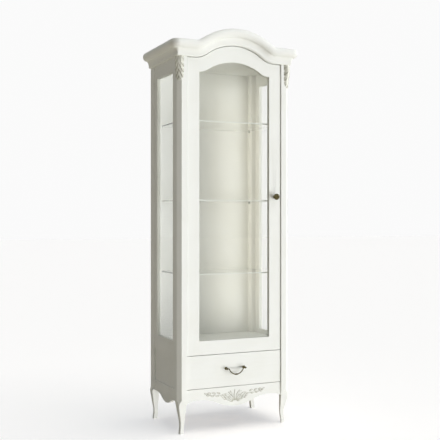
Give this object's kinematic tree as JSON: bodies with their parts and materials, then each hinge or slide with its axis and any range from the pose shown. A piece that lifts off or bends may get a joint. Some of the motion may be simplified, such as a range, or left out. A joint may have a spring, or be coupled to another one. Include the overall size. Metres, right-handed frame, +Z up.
{
  "type": "glass display cabinet",
  "caption": "Tall painted display cabinet with an arched cornice, glazed swing door and sides, glass shelves, a drawer with a bail handle, scalloped aprons and cabriole legs.",
  "frame": {"origin": "on the floor, below the middle of the whole outline", "axes": "+X to the viewer's right when facing the door, -Y out of the front, +Z up"},
  "size_m": [0.709, 0.439, 2.0154],
  "materials": {
    "ivory_paint": "satin ivory paint over wood",
    "clear_glass": "clear polished float glass",
    "aged_bronze": "dark aged bronze",
    "plain_steel": "plain zinc-plated steel",
    "bush_brass": "turned brass",
    "catch_plastic": "matte moulded plastic",
    "bare_wood": "clear-sealed pale wood"
  },
  "bodies": {
    "carcass": {"apron_relief": "ivory_paint", "back_panel": "ivory_paint", "ceiling_board": "ivory_paint", "display_floor": "ivory_paint", "door_catch": "catch_plastic", "drawer_runners": "bare_wood", "floor_cleats": "bare_wood", "front_apron": "ivory_paint", "front_cornice": "ivory_paint", "front_left_post": "ivory_paint", "front_right_post": "ivory_paint", "glass_shelf_high": "clear_glass", "glass_shelf_low": "clear_glass", "glass_shelf_middle": "clear_glass", "head_rail": "ivory_paint", "left_bottom_rail": "ivory_paint", "left_corner_leaf": "ivory_paint", "left_cornice": "ivory_paint", "left_front_stile": "ivory_paint", "left_glazing_beads": "ivory_paint", "left_lower_panel": "ivory_paint", "left_rear_stile": "ivory_paint", "left_side_apron": "ivory_paint", "left_side_glass": "clear_glass", "left_top_rail": "ivory_paint", "lower_pivot": "plain_steel", "mid_rail": "ivory_paint", "rear_left_post": "ivory_paint", "rear_rail": "ivory_paint", "rear_right_post": "ivory_paint", "right_bottom_rail": "ivory_paint", "right_corner_leaf": "ivory_paint", "right_cornice": "ivory_paint", "right_front_stile": "ivory_paint", "right_glazing_beads": "ivory_paint", "right_lower_panel": "ivory_paint", "right_rear_stile": "ivory_paint", "right_side_apron": "ivory_paint", "right_side_glass": "clear_glass", "right_top_rail": "ivory_paint", "shelf_pins": "plain_steel", "upper_pivot": "plain_steel"},
    "door": {"door_bottom_rail": "ivory_paint", "door_glass": "clear_glass", "door_glazing_beads": "ivory_paint", "door_hinge_stile": "ivory_paint", "door_knob": "aged_bronze", "door_knob_stile": "ivory_paint", "door_pivot_bushes": "bush_brass", "door_top_rail": "ivory_paint", "catch_strike": "plain_steel", "knob_screw": "plain_steel"},
    "drawer": {"drawer_back": "bare_wood", "drawer_floor": "bare_wood", "drawer_front": "ivory_paint", "drawer_left_side": "bare_wood", "drawer_right_side": "bare_wood", "handle_posts": "aged_bronze", "handle_screws": "plain_steel"},
    "drawer_bail": {"bail": "aged_bronze"}
  },
  "joints": [
    {"name": "door_swing", "type": "hinge", "parent": "carcass", "child": "door", "pos_m": [-0.2525, -0.1625, 1.1], "axis": [0, 0, -1], "range_deg": [0, 100]},
    {"name": "drawer_slide", "type": "slide", "parent": "carcass", "child": "drawer", "axis": [0, -1, 0], "range_m": [0, 0.26]},
    {"name": "bail_swing", "type": "hinge", "parent": "drawer", "child": "drawer_bail", "pos_m": [0, -0.1885, 0.31], "axis": [-1, 0, 0], "range_deg": [0, 85]}
  ]
}
